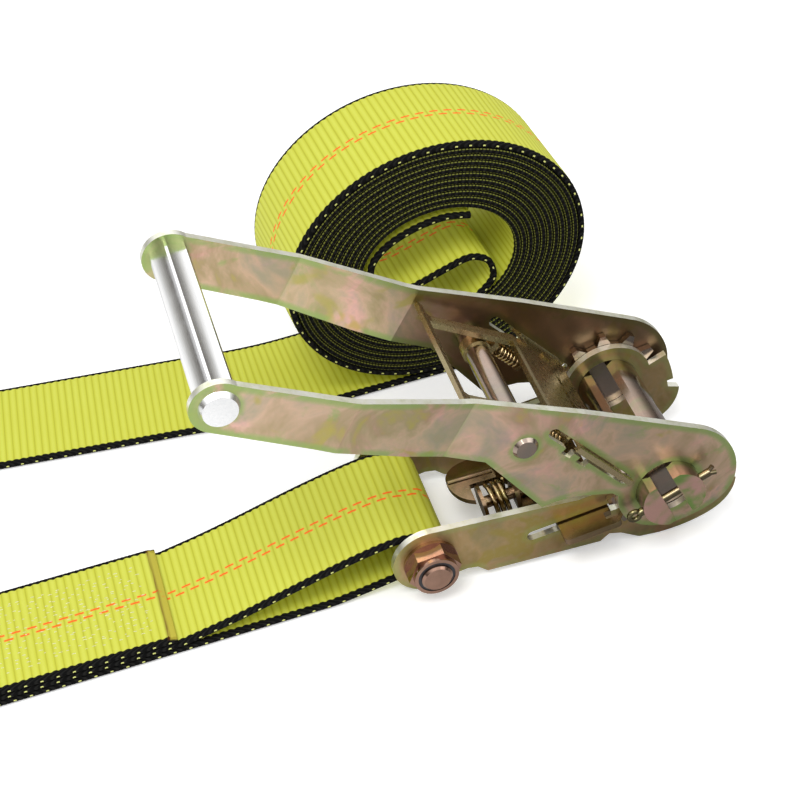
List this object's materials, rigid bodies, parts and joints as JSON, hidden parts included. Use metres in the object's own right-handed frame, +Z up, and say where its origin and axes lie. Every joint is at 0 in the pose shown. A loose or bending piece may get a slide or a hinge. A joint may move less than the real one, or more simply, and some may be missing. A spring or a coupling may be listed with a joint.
{
  "type": "ratchet tie down",
  "caption": "Ratchet tie down: plated steel ratchet buckle with a long wide handle, a short sewn strap on its anchor bolt, and a long strap rolled up behind it.",
  "frame": {"origin": "middle of the ratchet spindle's axis, half-way between the side plates", "axes": "+X from the anchor bolt toward the spindle, +Y along the spindle away from the nut side, +Z up; the floor is 30.3 mm below the origin"},
  "size_m": [0.4046, 0.2057, 0.1353],
  "materials": {
    "zinc_steel": "satin",
    "dark_zinc": "satin",
    "grip_aluminium": "satin",
    "webbing": "matte",
    "insert": "matte",
    "vinyl": "satin"
  },
  "bodies": {
    "frame": {"side_plate_near": "zinc_steel", "side_plate_far": "zinc_steel", "anchor_bolt": "zinc_steel", "anchor_nut": "zinc_steel", "nut_insert": "insert", "spring_bar": "dark_zinc", "lock_spring": "dark_zinc"},
    "lock": {"lock_plate": "dark_zinc"},
    "spindle": {"spindle_half_lower": "zinc_steel", "spindle_half_upper": "zinc_steel", "wheel_near": "dark_zinc", "wheel_far": "dark_zinc", "cotter_near": "dark_zinc", "cotter_far": "dark_zinc"},
    "handle": {"arm_near": "zinc_steel", "arm_far": "zinc_steel", "handle_grip": "grip_aluminium", "handle_rod": "zinc_steel", "spring_perch_near": "dark_zinc", "spring_perch_far": "dark_zinc", "drive_spring_near": "dark_zinc", "drive_spring_far": "dark_zinc"},
    "pawl": {"drive_pawl": "dark_zinc"},
    "short_strap": {"short_strap": "webbing"},
    "short_hook": {"short_hook": "zinc_steel", "short_hook_sleeves": "vinyl"},
    "long_strap": {"long_strap_roll": "webbing", "long_strap_core": "webbing", "long_strap_tail": "webbing"},
    "long_hook": {"long_hook": "zinc_steel", "long_hook_sleeves": "vinyl"}
  },
  "joints": [
    {"name": "handle_swing", "type": "hinge", "parent": "frame", "child": "handle", "pos_m": [0, 0, 0], "axis": [0, 1, 0], "range_deg": [-18, 120]},
    {"name": "spindle_turn", "type": "hinge", "parent": "frame", "child": "spindle", "pos_m": [0, 0, 0], "axis": [0, 1, 0], "continuous": true},
    {"name": "pawl_slide", "type": "slide", "parent": "handle", "child": "pawl", "axis": [-0.6678, 0, 0.7443], "range_m": [0, 0.009], "deforming": ["drive_spring_near", "drive_spring_far"]},
    {"name": "lock_slide", "type": "slide", "parent": "frame", "child": "lock", "axis": [-0.9863, 0, -0.165], "range_m": [0, 0.007], "deforming": ["lock_spring"]},
    {"name": "short_strap_swing", "type": "hinge", "parent": "frame", "child": "short_strap", "pos_m": [-0.09202, 0, -0.0154], "axis": [0, 1, 0], "range_deg": [-25, 20]},
    {"name": "short_hook_swing", "type": "hinge", "parent": "short_strap", "child": "short_hook", "pos_m": [-0.296, -0.01283, -0.0227], "axis": [0, 1, 0], "range_deg": [-45, 45]},
    {"name": "long_strap_move", "type": "slide", "parent": "frame", "child": "long_strap", "axis": [0, 1, 0], "range_m": [0, 0.1]},
    {"name": "long_hook_swing", "type": "hinge", "parent": "long_strap", "child": "long_hook", "pos_m": [-0.29556, 0.12032, -0.0227], "axis": [0.068, 0.9977, 0], "range_deg": [-45, 45]}
  ]
}
